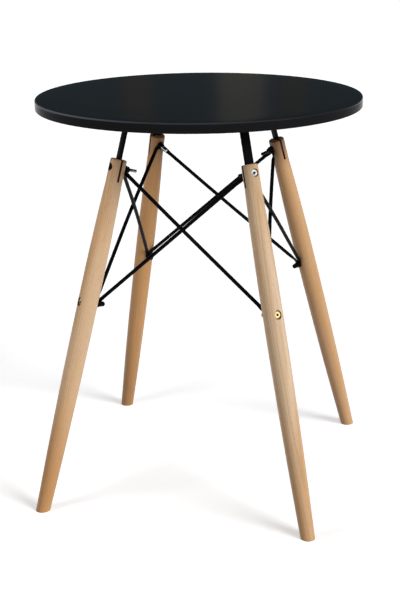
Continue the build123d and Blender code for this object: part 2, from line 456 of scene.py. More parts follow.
class Finishes:
    """The finished materials, one for each slot."""

    def __init__(self) -> None:
        """Builds every material once."""
        zinc = PlatedMetal("bright_zinc_plate", (0.58, 0.58, 0.57), (0.42, 0.42, 0.41))
        brass = PlatedMetal("brass_plate", (0.76, 0.56, 0.27), (0.58, 0.40, 0.17))
        self.by_slot = {
            Slot.TOP: SatinLacquer().material(),
            Slot.BEECH: LacqueredBeech().material(),
            Slot.STEEL: PowderCoat().material(),
            Slot.ZINC: zinc.material(),
            Slot.BRASS: brass.material(),
        }


class Form:
    """Meshes made of rings, and the steps that turn them into pieces."""

    @staticmethod
    def loft(rings: Sequence[Ring], looped: bool = False) -> Skin:
        """A skin over rings that all have the same number of points.

        Args:
            rings: The rings in order.
            looped: Whether the last ring joins the first; otherwise both ends are capped.

        Returns:
            The skin, closed and facing outwards.
        """
        skin = bmesh.new()
        rows = [[skin.verts.new(point) for point in ring] for ring in rings]
        pairs = list(zip(rows, rows[1:]))
        if looped:
            pairs.append((rows[-1], rows[0]))
        for low, high in pairs:
            for index in range(len(low)):
                after = (index + 1) % len(low)
                skin.faces.new((low[index], low[after], high[after], high[index]))
        if not looped:
            skin.faces.new(rows[0])
            skin.faces.new(rows[-1])
        bmesh.ops.recalc_face_normals(skin, faces=skin.faces)
        return skin

    @staticmethod
    def circle(radius: float | Outline, height: float, sides: int) -> Ring:
        """A ring round the Z axis.

        Args:
            radius: Radius, or a rule that gives it for each angle.
            height: Place of the ring along Z.
            sides: Number of points.

        Returns:
            The points of the ring.
        """
        ring = []
        for index in range(sides):
            angle = math.tau * index / sides
            reach = radius(angle) if callable(radius) else radius
            ring.append(Vector((reach * math.cos(angle), reach * math.sin(angle), height)))
        return ring

    @staticmethod
    def mesh(name: str, skins: Sequence[Skin], place: Matrix) -> bpy.types.Mesh:
        """A mesh from one or more skins.

        Args:
            name: Name of the mesh.
            skins: The skins, which are freed.
            place: Where they go.

        Returns:
            The mesh, with doubles merged.
        """
        whole = bmesh.new()
        for skin in skins:
            part = bpy.data.meshes.new("skin")
            skin.to_mesh(part)
            skin.free()
            whole.from_mesh(part)
            bpy.data.meshes.remove(part)
        bmesh.ops.transform(whole, matrix=place, verts=whole.verts)
        bmesh.ops.remove_doubles(whole, verts=whole.verts, dist=1e-7)
        made = bpy.data.meshes.new(name)
        whole.to_mesh(made)
        whole.free()
        return made

    @staticmethod
    def object(name: str, mesh: bpy.types.Mesh) -> Piece:
        """An object for a mesh, linked to the scene.

        Args:
            name: Name of the object.
            mesh: Its mesh.

        Returns:
            The object.
        """
        made = bpy.data.objects.new(name, mesh)
        bpy.context.scene.collection.objects.link(made)
        return made

    @staticmethod
    def bake(piece: Piece) -> None:
        """Turns a piece with modifiers into a plain mesh.

        Args:
            piece: The piece.
        """
        graph = bpy.context.evaluated_depsgraph_get()
        baked = bpy.data.meshes.new_from_object(piece.evaluated_get(graph), depsgraph=graph)
        piece.modifiers.clear()
        piece.data = baked

    @staticmethod
    def soften(piece: Piece, width: float, segments: int, least_degrees: float) -> None:
        """Rounds the edges of a piece that are sharper than an angle.

        Args:
            piece: The piece.
            width: Width of the rounding.
            segments: Number of faces across it.
            least_degrees: The angle.
        """
        modifier = piece.modifiers.new("edges", "BEVEL")
        modifier.width = width
        modifier.segments = segments
        modifier.limit_method = "ANGLE"
        modifier.angle_limit = math.radians(least_degrees)
        Form.bake(piece)

    @staticmethod
    def placed(skin: Skin, place: Matrix) -> Skin:
        """A skin, moved to a place."""
        bmesh.ops.transform(skin, matrix=place, verts=skin.verts)
        return skin

    @staticmethod
    def shade(piece: Piece, sharp_degrees: float) -> None:
        """Smooths a piece's shading, apart from edges sharper than an angle."""
        piece.data.shade_smooth()
        piece.data.set_sharp_from_angle(angle=math.radians(sharp_degrees))


class NodeTree(Graph):
    """A geometry node tree with named inputs."""

    def __init__(self, name: str) -> None:
        """Starts the tree with a geometry input and a geometry output.

        Args:
            name: Name of the tree.
        """
        super().__init__(bpy.data.node_groups.new(name, "GeometryNodeTree"))
        self.tree.interface.new_socket("Geometry", in_out="INPUT", socket_type="NodeSocketGeometry")
        self.tree.interface.new_socket("Geometry", in_out="OUTPUT", socket_type="NodeSocketGeometry")
        self.source = self.tree.nodes.new("NodeGroupInput")
        self.sink = self.tree.nodes.new("NodeGroupOutput")
        self.identifiers: dict[str, str] = {}

    def take(self, name: str, kind: str) -> Socket:
        """Adds a named input.

        Args:
            name: Name of the input.
            kind: Float, Int or Material.

        Returns:
            The socket that gives its value.
        """
        made = self.tree.interface.new_socket(name, in_out="INPUT", socket_type=f"NodeSocket{kind}")
        self.identifiers[name] = made.identifier
        return self.source.outputs[name]

    def close(self, geometry: Socket) -> None:
        """Ends the tree: instances become real and take the material input.

        Args:
            geometry: What the tree has made.
        """
        real = self.node("GeometryNodeRealizeInstances", {"Geometry": geometry}).outputs["Geometry"]
        inputs = {"Geometry": real, "Material": self.take("Material", "Material")}
        dressed = self.node("GeometryNodeSetMaterial", inputs)
        self.tree.links.new(dressed.outputs["Geometry"], self.sink.inputs["Geometry"])

    def apply(self, piece: Piece, values: dict[str, object]) -> None:
        """Runs the tree on a piece and keeps the result as its mesh.

        Args:
            piece: The piece.
            values: A value for each named input.
        """
        modifier = piece.modifiers.new(self.tree.name, "NODES")
        modifier.node_group = self.tree
        for name, value in values.items():
            modifier[self.identifiers[name]] = value
        Form.bake(piece)


class Workshop:
    """Hands finished pieces to the frame."""

    def __init__(self, finishes: Finishes) -> None:
        """Keeps the finishes.

        Args:
            finishes: The materials of every slot.
        """
        self.finishes = finishes

    def material(self, slot: Slot) -> bpy.types.Material:
        """The material of a slot."""
        return self.finishes.by_slot[slot]

    def hand_over(self, piece: Piece, slot: Slot, *nodes: str) -> None:
        """Gives a piece its finish, and puts it in the place of its nodes.

        Args:
            piece: The finished piece.
            slot: Its material slot.
            nodes: The nodes that it stands for.
        """
        piece.data.materials.clear()
        piece.data.materials.append(self.material(slot))
        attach(piece, BODY)
        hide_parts(*nodes)
        LOG.info("%s: %d faces for %s", piece.name, len(piece.data.polygons), ", ".join(nodes))


@dataclass
class TableTop:
    """The round board with its softly rounded rim."""

    radius: float = 0.2999
    height: float = 0.750
    thickness: float = 0.018
    upper_round: float = 0.0032
    lower_round: float = 0.0014
    face_rings: tuple[float, ...] = (0.02, 0.15, 0.27)
    sides: int = 288
    round_steps: int = 9
    sharp_degrees: float = 35.0

    def profile(self) -> list[Pair]:
        """Radius and height of the board's outline, from the middle below to the middle above.

        Returns:
            Pairs of radius and height.
        """
        underside = self.height - self.thickness
        low, high = self.lower_round, self.upper_round
        points = [(radius, underside) for radius in self.face_rings]
        for sine, cosine in quarter(self.round_steps):
            points.append((self.radius - low + low * sine, underside + low - low * cosine))
        for sine, cosine in quarter(self.round_steps):
            points.append((self.radius - high + high * cosine, self.height - high + high * sine))
        points += [(radius, self.height) for radius in reversed(self.face_rings)]
        return points

    def build(self, workshop: Workshop) -> None:
        """Turns the board and hands it over.

        Args:
            workshop: Where finished pieces are handed over.
        """
        rings = [Form.circle(radius, height, self.sides) for radius, height in self.profile()]
        board = Form.object("board", Form.mesh("board", [Form.loft(rings)], Matrix.Identity(4)))
        Form.shade(board, self.sharp_degrees)
        workshop.hand_over(board, Slot.TOP, "table_top")


@dataclass(frozen=True)
class LegStance:
    """How a leg stands, how thick it is, and how far its bolts and eyes sit from its axis."""

    splay: float = math.radians(16.2)
    foot_circle: float = 0.358
    top_height: float = 0.649
    top_radius: float = 0.015
    swell_radius: float = 0.0185
    foot_radius: float = 0.01325
    upper_bolt: float = 0.016
    lower_bolt: float = 0.268
    slot_depth: float = 0.040
    flat_length: float = 0.034
    straight_margin: float = 0.004
    seat_flat: float = 0.0008
    eye_thickness: float = 0.0025
    head_height: float = 0.003
    head_recess: float = 0.003

    @property
    def length(self) -> float:
        """Length of a leg's axis down to the floor."""
        return self.top_height / math.cos(self.splay)

    @property
    def past_floor(self) -> float:
        """How far the turned leg reaches past the floor before it is cut."""
        return 2 * self.foot_radius * math.tan(self.splay)

    @property
    def straight_ends(self) -> tuple[float, float, float, float]:
        """Depths where the straight runs end or start: slot, swell start, swell end, foot.

        Returns:
            The four depths, from the top end.
        """
        half_swell = self.flat_length / 2 + self.straight_margin
        slot_end = self.slot_depth + self.straight_margin
        foot_start = self.length - self.past_floor
        return slot_end, self.lower_bolt - half_swell, self.lower_bolt + half_swell, foot_start

    def frame(self) -> Matrix:
        """Frame of a leg along X: X out of the leg, Y sideways, Z up along its axis from its top end.

        Returns:
            The frame.
        """
        sine, cosine = math.sin(self.splay), math.cos(self.splay)
        start = self.foot_circle - self.top_height * math.tan(self.splay)
        rows = (
            (cosine, 0, -sine, start),
            (0, 1, 0, 0),
            (sine, 0, cosine, self.top_height),
            (0, 0, 0, 1),
        )
        return Matrix(rows)

    def fall(self, run: float, reach: float, end_radius: float) -> float:
        """How far the radius falls at a run from the thickest part, on an arc that ends at a reach.

        Args:
            run: Distance from the thickest part.
            reach: Length of the arc.
            end_radius: Radius at its end.

        Returns:
            The fall.
        """
        narrowing = self.swell_radius - end_radius
        arc = (reach**2 + narrowing**2) / (2 * narrowing)
        return arc - math.sqrt(arc**2 - min(max(run, 0), reach) ** 2)

    def radius(self, depth: float) -> float:
        """Radius of a leg at a depth along its axis.

        Args:
            depth: Distance from the top end.

        Returns:
            The radius there.
        """
        slot_end, swell_start, swell_end, foot_start = self.straight_ends
        upper = self.fall(swell_start - depth, swell_start - slot_end, self.top_radius)
        lower = self.fall(depth - swell_end, foot_start - swell_end, self.foot_radius)
        return self.swell_radius - upper - lower

    def eye_seat(self, depth: float, layer: float) -> float:
        """Distance from the axis to the inner face of a layer of the eye stack; layer 2 is the nut."""
        return self.radius(depth) - self.seat_flat + layer * self.eye_thickness

    def head_seat(self, depth: float) -> float:
        """Distance from the axis to the floor of a bolt head's counterbore."""
        return self.radius(depth) - self.head_recess - self.head_height

    def nut_place(self, depth: float) -> Matrix:
        """Frame of the nut on a bolt, in the frame of the leg."""
        return self.across(depth, self.eye_seat(depth, 2), False)

    def across(self, depth: float, distance: float, outward: bool) -> Matrix:
        """Frame on a bolt line, with Z along the bolt.

        Args:
            depth: Distance of the bolt from the top end.
            distance: Distance from the leg's axis.
            outward: Whether Z points out of the table.

        Returns:
            The frame, in the frame of the leg.
        """
        side = 1 if outward else -1
        columns = ((0, 1, 0), (0, 0, side), (side, 0, 0), (side * distance, 0, -depth))
        rows = list(zip(*columns)) + [(0, 0, 0, 1)]
        return Matrix(rows)


@dataclass
class TurnedLegs:
    """The four dowel legs with their slots, counterbores and seat flats."""

    stance: LegStance
    sides: int = 112
    rows: int = 170
    crowding: float = 0.04
    shoulder: float = 0.0028
    slot_width: float = 0.0035
    counterbore_radius: float = 0.007
    bore_sides: int = 64
    floor_block: Point = (1.0, 1.0, 0.2)
    edge_wear: float = 0.00035
    edge_degrees: float = 42.0
    wall_margin: float = 0.00002
    sharp_degrees: float = 30.0
    ramp_height: float = 0.004
    ramp_run: float = 7.0
    grain_shift: Point = (0.37, 0.21, 1.30)
    warmth: ByLeg = (0.33, 0.05, 0.66, 0.92)
    foot_warmth: ByLeg = (0.95, 0.60, 0.70, 1.00)
    foot_run: Pair = (0.36, 0.64)
    # Painted shade at each leg's top end under the board, the darkening towards its foot, and how far down
    # the top shade reaches.
    top_painted_shade: ByLeg = (0.30, 0.18, 0.72, 0.34)
    foot_darkening: ByLeg = (0.23, 0.12, 0.0, 0.36)
    top_shade_depth: float = 0.070

    @staticmethod
    def fall(tree: NodeTree, run: object, reach: object, narrowing: object) -> Socket:
        """Adds the rule for how far the radius falls on an arc.

        Args:
            tree: The tree.
            run: Distance from the thickest part.
            reach: Length of the arc.
            narrowing: Fall at its end.

        Returns:
            The fall.
        """
        held = tree.sum("MINIMUM", tree.sum("MAXIMUM", run, 0.0), reach)
        squares = tree.sum("ADD", tree.sum("POWER", reach, 2.0), tree.sum("POWER", narrowing, 2.0))
        arc = tree.sum("DIVIDE", squares, tree.sum("MULTIPLY", narrowing, 2.0))
        left = tree.sum("SUBTRACT", tree.sum("POWER", arc, 2.0), tree.sum("POWER", held, 2.0))
        return tree.sum("SUBTRACT", arc, tree.sum("SQRT", left))

    def lathe_tree(self) -> NodeTree:
        """The tree that turns a leg: straight at the fittings, narrowing on arcs from its swell to both ends.

        Returns:
            The tree.
        """
        tree = NodeTree("turned_leg")
        sides, rows = tree.take("Sides", "Int"), tree.take("Rows", "Int")
        length, crowding = tree.take("Turned Length", "Float"), tree.take("Row Crowding", "Float")
        top, swell, foot = (tree.take(f"{part} Radius", "Float") for part in ("Top", "Swell", "Foot"))
        slot_end, swell_start = tree.take("Slot Run End", "Float"), tree.take("Swell Start", "Float")
        swell_end, foot_start = tree.take("Swell End", "Float"), tree.take("Foot Run Start", "Float")
        shoulder = tree.take("Shoulder", "Float")
        sizes = {"Vertices": sides, "Side Segments": rows, "Radius": 1.0, "Depth": 1.0}
        blank = tree.node("GeometryNodeMeshCylinder", sizes, fill_type="NGON").outputs["Mesh"]
        place = tree.node("ShaderNodeSeparateXYZ", {0: tree.node("GeometryNodeInputPosition").outputs[0]})

        share = tree.sum("SUBTRACT", 0.5, place.outputs["Z"])
        square = tree.sum("MULTIPLY", share, share)
        even = tree.sum("MULTIPLY", crowding, tree.sum("SUBTRACT", share, square))
        depth = tree.sum("MULTIPLY", length, tree.sum("ADD", even, square))
        upper_reach = tree.sum("SUBTRACT", swell_start, slot_end)
        upper_run = tree.sum("SUBTRACT", swell_start, depth)
        upper = self.fall(tree, upper_run, upper_reach, tree.sum("SUBTRACT", swell, top))
        lower_reach = tree.sum("SUBTRACT", foot_start, swell_end)
        lower_run = tree.sum("SUBTRACT", depth, swell_end)
        lower = self.fall(tree, lower_run, lower_reach, tree.sum("SUBTRACT", swell, foot))
        radius = tree.sum("SUBTRACT", tree.sum("SUBTRACT", swell, upper), lower)
        short = tree.sum("MAXIMUM", tree.sum("SUBTRACT", shoulder, depth), 0.0)
        inside = tree.sum("SUBTRACT", tree.sum("POWER", shoulder, 2.0), tree.sum("POWER", short, 2.0))
        drop = tree.sum("SUBTRACT", shoulder, tree.sum("SQRT", tree.sum("MAXIMUM", inside, 0.0)))
        radius = tree.sum("SUBTRACT", radius, drop)

        turned = {
            "X": tree.sum("MULTIPLY", place.outputs["X"], radius),
            "Y": tree.sum("MULTIPLY", place.outputs["Y"], radius),
            "Z": tree.sum("MULTIPLY", depth, -1.0),
        }
        position = tree.node("ShaderNodeCombineXYZ", turned).outputs[0]
        moved = tree.node("GeometryNodeSetPosition", {"Geometry": blank, "Position": position})
        tree.close(moved.outputs["Geometry"])
        return tree

    def cutters(self) -> list[Skin]:
        """Skins that are cut out of a leg, in its own frame.

        Returns:
            The skins.
        """
        wide = 2 * self.stance.swell_radius
        skins = [self.block((self.slot_width, 2 * wide, 2 * self.stance.slot_depth), Matrix.Identity(4))]
        for depth in (self.stance.upper_bolt, self.stance.lower_bolt):
            rings = [Form.circle(self.counterbore_radius, height, self.bore_sides) for height in (0, wide)]
            head_place = self.stance.across(depth, self.stance.head_seat(depth), True)
            skins.append(Form.placed(Form.loft(rings), head_place))
            skins.append(self.seat_plane(depth))
        return skins

    def seat_plane(self, depth: float) -> Skin:
        """A skin that planes the seat of a bolt's eyes, and runs out in a shallow ramp at both ends.

        Args:
            depth: Depth of the bolt.

        Returns:
            The skin, in the frame of the leg.
        """
        rings = []
        for rise in (0, self.ramp_height):
            half = self.stance.flat_length / 2 + rise * self.ramp_run
            corners = ((1, half), (-1, half), (-1, -half), (1, -half))
            rings.append([Vector((side * self.stance.swell_radius, along, rise)) for side, along in corners])
        return Form.placed(Form.loft(rings), self.stance.across(depth, self.stance.eye_seat(depth, 0), False))

    @staticmethod
    def block(size: Sequence[float], place: Matrix) -> Skin:
        """A cutting block of a size, at a place.

        Args:
            size: Its size along each axis.
            place: Where its middle goes.

        Returns:
            The block.
        """
        skin = bmesh.new()
        bmesh.ops.create_cube(skin, size=1.0, matrix=place @ Matrix.Diagonal((*size, 1.0)))
        return skin

    def cut(self, leg: Piece) -> None:
        """Cuts the slot, the counterbores, the flats and the floor end of a leg that is in its own frame.

        Args:
            leg: The turned leg.
        """
        to_leg = self.stance.frame().inverted()
        below = Matrix.Translation((self.stance.foot_circle, 0, -self.floor_block[2] / 2))
        floor = self.block(self.floor_block, to_leg @ below)
        for skin in self.cutters() + [floor]:
            cutter = Form.object("cutter", Form.mesh("cutter", [skin], Matrix.Identity(4)))
            modifier = leg.modifiers.new("cut", "BOOLEAN")
            modifier.operation = "DIFFERENCE"
            modifier.solver = "EXACT"
            modifier.object = cutter
            Form.bake(leg)
            bpy.data.objects.remove(cutter)

    def is_cut(self, point: Vector) -> bool:
        """Whether a point of a leg is on a wall of its slot or of a counterbore.

        Args:
            point: The point, in the frame of the leg.

        Returns:
            True on such a wall.
        """
        margin = self.wall_margin
        on_wall = abs(point.x) < self.slot_width / 2 + margin and -point.z < self.stance.slot_depth + margin
        for depth in (self.stance.upper_bolt, self.stance.lower_bolt):
            beside = math.hypot(point.y, point.z + depth)
            on_wall = on_wall or (point.x > 0 and beside < self.counterbore_radius + margin)
        return on_wall

    def draw_grain(self, leg: Piece, order: int) -> None:
        """Writes each point's place in its own piece of wood, marks painted shade on the cut walls and at the
        top end, and darkening towards the foot, and tints the wood.

        Args:
            leg: The leg, in its own frame.
            order: Number of the leg, which shifts its grain and picks its tones.
        """
        shift = Vector(self.grain_shift) * (order + 1)
        points = [vertex.co.copy() for vertex in leg.data.vertices]
        grain = leg.data.attributes.new(GRAIN, "FLOAT_VECTOR", "POINT")
        grain.data.foreach_set("vector", [value for point in points for value in point + shift])
        # Painted shade: full on the walls of the slot and counterbores, less at the top end, and darkening
        # towards the foot.
        cut = leg.data.attributes.new(WOOD_SHADE, "FLOAT", "POINT")
        marks = [max(float(self.is_cut(point)), self.end_darkening(-point.z, order)) for point in points]
        cut.data.foreach_set("value", marks)
        tint = leg.data.attributes.new(WARMTH, "FLOAT", "POINT")
        tint.data.foreach_set("value", [self.warmth_at(-point.z, order) for point in points])

    def foot_share(self, depth: float) -> float:
        """Share of the foot's tone at a depth, which rises smoothly along the lower part of a leg."""
        start, end = self.foot_run
        return ease(min(max((depth - start) / (end - start), 0), 1))

    def warmth_at(self, depth: float, order: int) -> float:
        """Warmth of a leg's wood at a depth."""
        return self.warmth[order] + (self.foot_warmth[order] - self.warmth[order]) * self.foot_share(depth)

    def end_darkening(self, depth: float, order: int) -> float:
        """Mark of painted shade at a leg's top end under the board and of darkening towards its foot; a cut
        wall has the full mark.
        """
        top = self.top_painted_shade[order] * max(1 - depth / self.top_shade_depth, 0)
        return WOOD_SHADE_START + (1 - WOOD_SHADE_START) * (top + self.foot_darkening[order] * self.foot_share(depth))

    def build(self, workshop: Workshop) -> None:
        """Turns, cuts and places the legs, and hands them over.

        Args:
            workshop: Where finished pieces are handed over.
        """
        tree = self.lathe_tree()
        slot_end, swell_start, swell_end, foot_start = self.stance.straight_ends
        sizes = {
            "Sides": self.sides,
            "Rows": self.rows,
            "Turned Length": self.stance.length + self.stance.past_floor,
            "Row Crowding": self.crowding,
            "Top Radius": self.stance.top_radius,
            "Swell Radius": self.stance.swell_radius,
            "Foot Radius": self.stance.foot_radius,
            "Slot Run End": slot_end,
            "Swell Start": swell_start,
            "Swell End": swell_end,
            "Foot Run Start": foot_start,
            "Shoulder": self.shoulder,
            "Material": workshop.material(Slot.BEECH),
        }
        for order, corner in enumerate(Corner):
            leg = Form.object(f"turned_leg_{corner.label}", bpy.data.meshes.new("leg"))
            tree.apply(leg, sizes)
            self.cut(leg)
            Form.soften(leg, self.edge_wear, 2, self.edge_degrees)
            self.draw_grain(leg, order)
            leg.data.transform(corner.turn() @ self.stance.frame())
            Form.shade(leg, self.sharp_degrees)
            workshop.hand_over(leg, Slot.BEECH, f"leg_{corner.label}")


@dataclass
class Straps:
    """The flat bars that carry the board: upright in the leg's slot, then bent in under the board."""

    stance: LegStance
    width: float = 0.018
    thickness: float = 0.003
    foot_depth: float = 0.028
    flange_height: float = 0.7305
    flange_length: float = 0.066
    bend_radius: float = 0.008
    corner_clip: float = 0.004
    edge_round: float = 0.0005
    edge_degrees: float = 30.0
    sharp_degrees: float = 40.0
    bend_steps: int = 14

    def path(self) -> list[tuple[Vector, Vector]]:
        """Points along the middle of the bar, each with the direction across its thickness.

        Returns:
            Pairs of point and direction, for the strap along X.
        """
        up = Vector((-math.sin(self.stance.splay), 0, math.cos(self.stance.splay)))
        inward = Vector((-1, 0, 0))
        foot = self.stance.frame() @ Vector((0, 0, -self.foot_depth))
        corner = foot + up * ((self.flange_height - foot.z) / up.z)
        turn = up.angle(inward)
        tangent = self.bend_radius * math.tan(turn / 2)
        normal = Vector((up.z, 0, -up.x))
        middle = corner - up * tangent - normal * self.bend_radius
        points = [(foot + up * step, normal) for step in (0, self.corner_clip)]
        for index in range(self.bend_steps + 1):
            across = Matrix.Rotation(-turn * index / self.bend_steps, 3, "Y") @ normal
            points.append((middle + across * self.bend_radius, across))
        tip = corner + inward * self.flange_length
        above = Vector((0, 0, 1))
        points += [(tip - inward * step, above) for step in (self.corner_clip, 0)]
        return points

    def build(self, workshop: Workshop) -> None:
        """Bends the straps and hands them over.

        Args:
            workshop: Where finished pieces are handed over.
        """
        path = self.path()
        half = self.thickness / 2
        for corner in Corner:
            rings = []
            for index, (point, across) in enumerate(path):
                at_end = index in (0, len(path) - 1)
                reach = self.width / 2 - (self.corner_clip if at_end else 0)
                sides = ((reach, half), (-reach, half), (-reach, -half), (reach, -half))
                rings.append([point + Vector((0, side, 0)) + across * rise for side, rise in sides])
            mesh = Form.mesh("strap", [Form.loft(rings)], corner.turn())
            strap = Form.object(f"flat_strap_{corner.label}", mesh)
            Form.soften(strap, self.edge_round, 3, self.edge_degrees)
            Form.shade(strap, self.sharp_degrees)
            workshop.hand_over(strap, Slot.STEEL, f"strap_{corner.label}")


@dataclass
class RodEnd:
    """One end of a rod: its eye, the direction that the eye faces, and where the bar leaves it."""

    eye: Vector
    facing: Vector
    bend: Vector
    direction: Vector


@dataclass
class BraceRods:
    """The eight crossed rods with pressed, bent eyes."""

    stance: LegStance
    diameter: float = 0.007
    crossing_gap: float = 0.0005
    eye_diameter: float = 0.014
    neck_width: float = 0.009
    neck_length: float = 0.010
    bend_radius: float = 0.005
    flat_run: float = 0.004
    taper_run: float = 0.012
    spring_run: float = 0.070
    pressed_power: float = 0.45
    tip_angle: float = 0.08
    sharp_degrees: float = 50.0
    sides: int = 28
    eye_steps: int = 12
    bend_steps: int = 6
    taper_steps: int = 9
    spring_steps: int = 10

    def eye(self, depth: float, layer: RodLayer, turn: float) -> tuple[Vector, Vector]:
        """Middle of an eye and the direction that it faces.

        Args:
            depth: Depth of its bolt.
            layer: Layer of the rod.
            turn: Degrees from the X axis to the leg.

        Returns:
            The middle and the direction out of the leg.
        """
        spin = Matrix.Rotation(math.radians(turn), 4, "Z") @ self.stance.frame()
        distance = self.stance.eye_seat(depth, layer.value + 0.5)
        facing = spin.to_3x3() @ Vector((1, 0, 0))
        return spin @ Vector((-distance, 0, -depth)), facing

    def eyes(self, layer: RodLayer) -> list[tuple[Vector, Vector]]:
        """Upper and lower eye of a rod between the leg along X and the leg along Y.

        Args:
            layer: Layer of the rod.

        Returns:
            The middle and the direction of each eye.
        """
        upper_turn, lower_turn = (0, 90) if layer is RodLayer.OUTER else (90, 0)
        upper = self.eye(self.stance.upper_bolt, layer, upper_turn)
        return [upper, self.eye(self.stance.lower_bolt, layer, lower_turn)]

    def leave(self, eye: tuple[Vector, Vector], target: Vector) -> Vector:
        """Where a rod that runs to a target leaves the plane of its eye.

        Args:
            eye: Middle and direction of the eye.
            target: Where the rod runs to.

        Returns:
            The place.
        """
        middle, facing = eye
        along = target - middle
        return middle + (along - facing * along.dot(facing)).normalized() * self.neck_length

    def straight(self, layer: RodLayer) -> tuple[Vector, Vector]:
        """Ends of the straight line between a rod's bends."""
        upper, lower = self.eyes(layer)
        return self.leave(upper, lower[0]), self.leave(lower, upper[0])

    def crossing(self, layer: RodLayer) -> Vector:
        """Where the middle of a rod passes its neighbour, sprung away from it.

        Args:
            layer: Layer of the rod.

        Returns:
            The place.
        """
        other = RodLayer.INNER if layer is RodLayer.OUTER else RodLayer.OUTER
        start, end = self.straight(layer)
        other_start, other_end = self.straight(other)
        along, other_along = end - start, other_end - other_start
        square = along.cross(other_along)
        share = (other_start - start).cross(other_along).dot(square) / square.length_squared
        away = square.normalized()
        apart = (start - other_start).dot(away)
        if apart < 0:
            away, apart = -away, -apart
        spring = max(self.diameter + self.crossing_gap - apart, 0) / 2
        return start + along * share + away * spring

    def ends(self, layer: RodLayer) -> list[RodEnd]:
        """Both ends of a rod.

        Args:
            layer: Layer of the rod.

        Returns:
            Its upper and its lower end.
        """
        middle = self.crossing(layer)
        made = []
        for eye in self.eyes(layer):
            bend = self.leave(eye, middle)
            made.append(RodEnd(eye[0], eye[1], bend, (middle - bend).normalized()))
        return made

    def section(self, place: Vector, wide: Vector, thick: Vector, roundness: float) -> Ring:
        """A ring across the rod.

        Args:
            place: Middle of the ring.
            wide: Half of its width, as a vector.
            thick: Half of its thickness, as a vector.
            roundness: Zero for a pressed section with flat faces, one for a round one.

        Returns:
            The points of the ring.
        """
        power = self.pressed_power + (1 - self.pressed_power) * roundness
        ring = []
        for index in range(self.sides):
            angle = math.tau * (index + 0.5) / self.sides
            cosine, sine = math.cos(angle), math.sin(angle)
            across = math.copysign(abs(cosine) ** power, cosine)
            through = math.copysign(abs(sine) ** power, sine)
            ring.append(place + wide * across + thick * through)
        return ring

    def end_rings(self, end: RodEnd) -> list[Ring]:
        """Rings from the tip of an eye to the round bar.

        Args:
            end: The end of the rod.

        Returns:
            The rings.
        """
        neck = (end.bend - end.eye).normalized()
        side = neck.cross(end.facing)
        half_thick = self.stance.eye_thickness / 2
        half_neck = self.neck_width / 2
        eye_radius = self.eye_diameter / 2
        rings = []
        last = math.acos(-math.sqrt(1 - (half_neck / eye_radius) ** 2))
        for step in range(self.eye_steps + 1):
            angle = max(last * step / self.eye_steps, self.tip_angle)
            along, reach = -math.cos(angle) * eye_radius, math.sin(angle) * eye_radius
            rings.append(self.section(end.eye + neck * along, side * reach, end.facing * half_thick, 0))

        turn = neck.angle(end.direction)
        tangent = self.bend_radius * math.tan(turn / 2)
        axis = neck.cross(end.direction).normalized()
        centre = end.bend - neck * tangent + axis.cross(neck) * self.bend_radius
        arm = -axis.cross(neck) * self.bend_radius
        for step in range(self.bend_steps + 1):
            spin = Matrix.Rotation(turn * step / self.bend_steps, 3, axis)
            thick = spin @ end.facing * half_thick
            rings.append(self.section(centre + spin @ arm, side * half_neck, thick, 0))

        facing = Matrix.Rotation(turn, 3, axis) @ end.facing
        bar = self.diameter / 2
        for step in range(self.taper_steps + 1):
            share = step / self.taper_steps
            roundness = ease(share)
            wide = half_neck + (bar - half_neck) * roundness
            thick = half_thick + (bar - half_thick) * roundness
            place = end.bend + end.direction * (self.flat_run + self.taper_run * share)
            rings.append(self.section(place, side * wide, facing * thick, roundness))
        return rings

    def rod(self, layer: RodLayer) -> Skin:
        """One rod between the leg along X and the leg along Y.

        Args:
            layer: Layer of the rod.

        Returns:
            Its skin.
        """
        upper, lower = self.ends(layer)
        head = self.end_rings(upper)
        tail = self.end_rings(lower)
        middle = self.crossing(layer)
        bar = self.diameter / 2
        side = (upper.bend - upper.eye).normalized().cross(upper.facing)
        along = (lower.bend - upper.bend).normalized()
        begin = middle - upper.direction * self.spring_run
        finish = middle - lower.direction * self.spring_run
        bars = []
        for step in range(self.spring_steps + 1):
            share = step / self.spring_steps
            place = begin * (1 - share) ** 2 + middle * (2 * share * (1 - share)) + finish * share**2
            wide = side - along * side.dot(along)
            wide.normalize()
            bars.append(self.section(place, wide * bar, along.cross(wide) * bar, 1))
        bars = self.matched(head[-1], bars)
        return Form.loft(head + bars + self.matched(bars[-1], tail[::-1]))

    def matched(self, ring: Ring, rings: list[Ring]) -> list[Ring]:
        """Rings whose points are renumbered so that they run on from a ring without a twist.

        Args:
            ring: The ring that comes before.
            rings: Rings that follow, all numbered alike.

        Returns:
            The renumbered rings.
        """
        count = len(ring)
        shift = sum(rings[0], Vector()) / count - sum(ring, Vector()) / count
        best = None
        for step in (1, -1):
            for offset in range(count):
                order = [(offset + step * index) % count for index in range(count)]
                miss = sum((rings[0][order[index]] - shift - ring[index]).length for index in range(count))
                if best is None or miss < best[0]:
                    best = (miss, order)
        return [[item[index] for index in best[1]] for item in rings]

    def build(self, workshop: Workshop) -> None:
        """Bends the rods and hands them over.

        Args:
            workshop: Where finished pieces are handed over.
        """
        for layer in RodLayer:
            for corner in Corner:
                ends = (corner.label, corner.following().label)
                upper, lower = ends if layer is RodLayer.OUTER else ends[::-1]
                mesh = Form.mesh("rod", [self.rod(layer)], corner.turn())
                rod = Form.object(f"rod_{upper}_to_{lower}", mesh)
                Form.shade(rod, self.sharp_degrees)
                workshop.hand_over(rod, Slot.STEEL, f"brace_rod_{upper}_to_{lower}")


